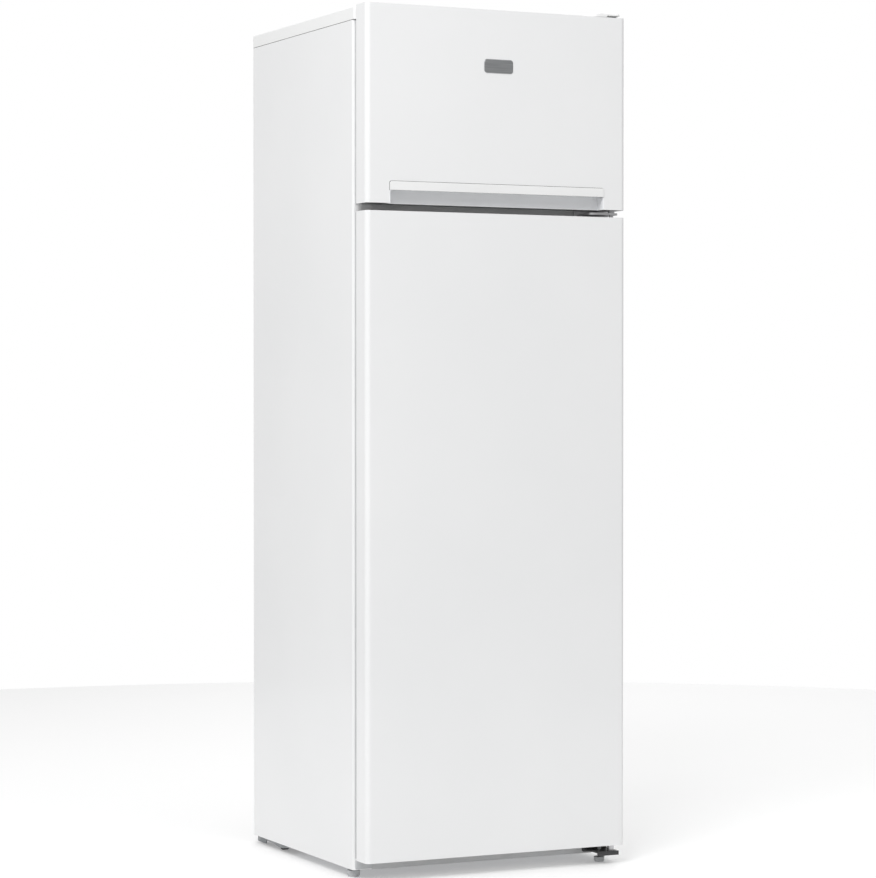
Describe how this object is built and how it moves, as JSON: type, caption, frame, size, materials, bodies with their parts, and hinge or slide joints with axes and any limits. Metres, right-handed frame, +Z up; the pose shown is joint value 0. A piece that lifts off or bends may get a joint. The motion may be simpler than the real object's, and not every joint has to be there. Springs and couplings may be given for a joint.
{
  "type": "top freezer refrigerator",
  "caption": "Free-standing top freezer refrigerator: steel cabinet on feet and rollers, hinged freezer and fridge doors, shelves, drawer, compressor and rear condenser.",
  "frame": {"origin": "middle of the footprint on the floor, under the centre of the bounding box", "axes": "+X to the right seen from the front, +Y to the back, +Z up; the doors face -Y and their hinges are on the +X side"},
  "size_m": [0.54, 0.574, 1.618],
  "materials": {
    "white_enamel": "gloss",
    "white_plastic": "satin",
    "grey_plastic": "satin",
    "badge_metal": "satin",
    "insulation_foam": "matte",
    "seal_rubber": "matte",
    "zinc_steel": "satin",
    "black_bracket": "satin",
    "black_shell": "satin",
    "black_plastic": "matte",
    "black_rubber": "matte",
    "copper": "satin",
    "evaporator_aluminium": "satin",
    "shelf_glass": "gloss",
    "clear_plastic": "gloss",
    "white_wire": "satin",
    "lens_plastic": "satin",
    "lamp_glass": "gloss",
    "bush_plastic": "satin",
    "foot_plastic": "matte"
  },
  "bodies": {
    "cabinet": {"side_panel_left": "white_enamel", "side_panel_right": "white_enamel", "top_cover": "white_plastic", "back_panel": "zinc_steel", "floor_pan": "zinc_steel", "cabinet_foam": "insulation_foam", "fridge_liner": "white_plastic", "freezer_liner": "white_plastic", "front_rails": "white_enamel", "bottom_front_rail": "white_enamel", "compressor_tray": "zinc_steel", "compressor": "black_shell", "compressor_grommets": "black_rubber", "relay_box": "black_plastic", "drip_tray": "black_plastic", "condenser_tube": "black_shell", "condenser_wires": "black_shell", "condenser_clips": "black_plastic", "refrigerant_pipes": "copper", "evaporator_plates": "evaporator_aluminium", "control_housing": "white_plastic", "lamp_lens": "lens_plastic", "interior_lamp": "lamp_glass", "fridge_shelf_panes": "shelf_glass", "crisper_cover_glass": "shelf_glass", "shelf_trims": "white_plastic", "freezer_shelf": "white_wire", "top_hinge_bracket": "zinc_steel", "top_hinge_cover": "white_plastic", "middle_hinge_bracket": "zinc_steel", "bottom_hinge_bracket": "black_bracket", "hinge_pins": "zinc_steel", "fasteners": "zinc_steel", "drain_pipe": "grey_plastic"},
    "freezer_door": {"freezer_door_skin": "white_enamel", "freezer_door_end_caps": "white_plastic", "freezer_door_foam": "insulation_foam", "freezer_door_liner": "white_plastic", "freezer_door_gasket": "seal_rubber", "handle_lip": "white_plastic", "handle_cup": "grey_plastic", "badge": "badge_metal", "freezer_door_bushes": "bush_plastic"},
    "fridge_door": {"fridge_door_skin": "white_enamel", "fridge_door_end_caps": "white_plastic", "fridge_door_foam": "insulation_foam", "fridge_door_liner": "white_plastic", "fridge_door_gasket": "seal_rubber", "fridge_door_bushes": "bush_plastic"},
    "freezer_bin": {"freezer_door_bin": "clear_plastic"},
    "lower_bin": {"fridge_door_bin_lower": "clear_plastic"},
    "middle_bin": {"fridge_door_bin_middle": "clear_plastic"},
    "upper_bin": {"fridge_door_bin_upper": "clear_plastic"},
    "crisper": {"crisper_drawer": "clear_plastic"},
    "knob": {"thermostat_knob": "white_plastic"},
    "switch": {"door_switch_button": "white_plastic"},
    "left_foot": {"front_left_foot": "foot_plastic"},
    "right_foot": {"front_right_foot": "foot_plastic"},
    "left_roller": {"rear_left_roller": "black_plastic"},
    "right_roller": {"rear_right_roller": "black_plastic"}
  },
  "joints": [
    {"name": "freezer_door_hinge", "type": "hinge", "parent": "cabinet", "child": "freezer_door", "pos_m": [0.252, -0.263, 1.25], "axis": [0, 0, 1], "range_deg": [0, 130]},
    {"name": "fridge_door_hinge", "type": "hinge", "parent": "cabinet", "child": "fridge_door", "pos_m": [0.252, -0.263, 0.6], "axis": [0, 0, 1], "range_deg": [0, 130]},
    {"name": "crisper_slide", "type": "slide", "parent": "cabinet", "child": "crisper", "axis": [0, -1, 0], "range_m": [0, 0.201]},
    {"name": "door_switch_travel", "type": "slide", "parent": "cabinet", "child": "switch", "axis": [0, -1, 0], "range_m": [0, 0.006]},
    {"name": "thermostat_knob_turn", "type": "hinge", "parent": "cabinet", "child": "knob", "pos_m": [0.18, -0.0808, 1.1395], "axis": [1, 0, 0], "range_deg": [-150, 150]},
    {"name": "left_foot_screw", "type": "slide", "parent": "cabinet", "child": "left_foot", "axis": [0, 0, -1], "range_m": [0, 0.01]},
    {"name": "right_foot_screw", "type": "slide", "parent": "cabinet", "child": "right_foot", "axis": [0, 0, -1], "range_m": [0, 0.01]},
    {"name": "left_roller_spin", "type": "hinge", "parent": "cabinet", "child": "left_roller", "pos_m": [-0.25, 0.15, 0.014], "axis": [1, 0, 0], "continuous": true},
    {"name": "right_roller_spin", "type": "hinge", "parent": "cabinet", "child": "right_roller", "pos_m": [0.25, 0.15, 0.014], "axis": [1, 0, 0], "continuous": true},
    {"name": "freezer_bin_lift", "type": "slide", "parent": "freezer_door", "child": "freezer_bin", "axis": [0, 0, 1], "range_m": [0, 0.014]},
    {"name": "lower_bin_lift", "type": "slide", "parent": "fridge_door", "child": "lower_bin", "axis": [0, 0, 1], "range_m": [0, 0.014]},
    {"name": "middle_bin_lift", "type": "slide", "parent": "fridge_door", "child": "middle_bin", "axis": [0, 0, 1], "range_m": [0, 0.014]},
    {"name": "upper_bin_lift", "type": "slide", "parent": "fridge_door", "child": "upper_bin", "axis": [0, 0, 1], "range_m": [0, 0.014]}
  ],
  "couplings": [
    {"joint": "crisper_slide", "follows": "fridge_door_hinge", "m_per_rad": 0.088},
    {"joint": "door_switch_travel", "follows": "fridge_door_hinge", "m_per_rad": 0.0026}
  ]
}
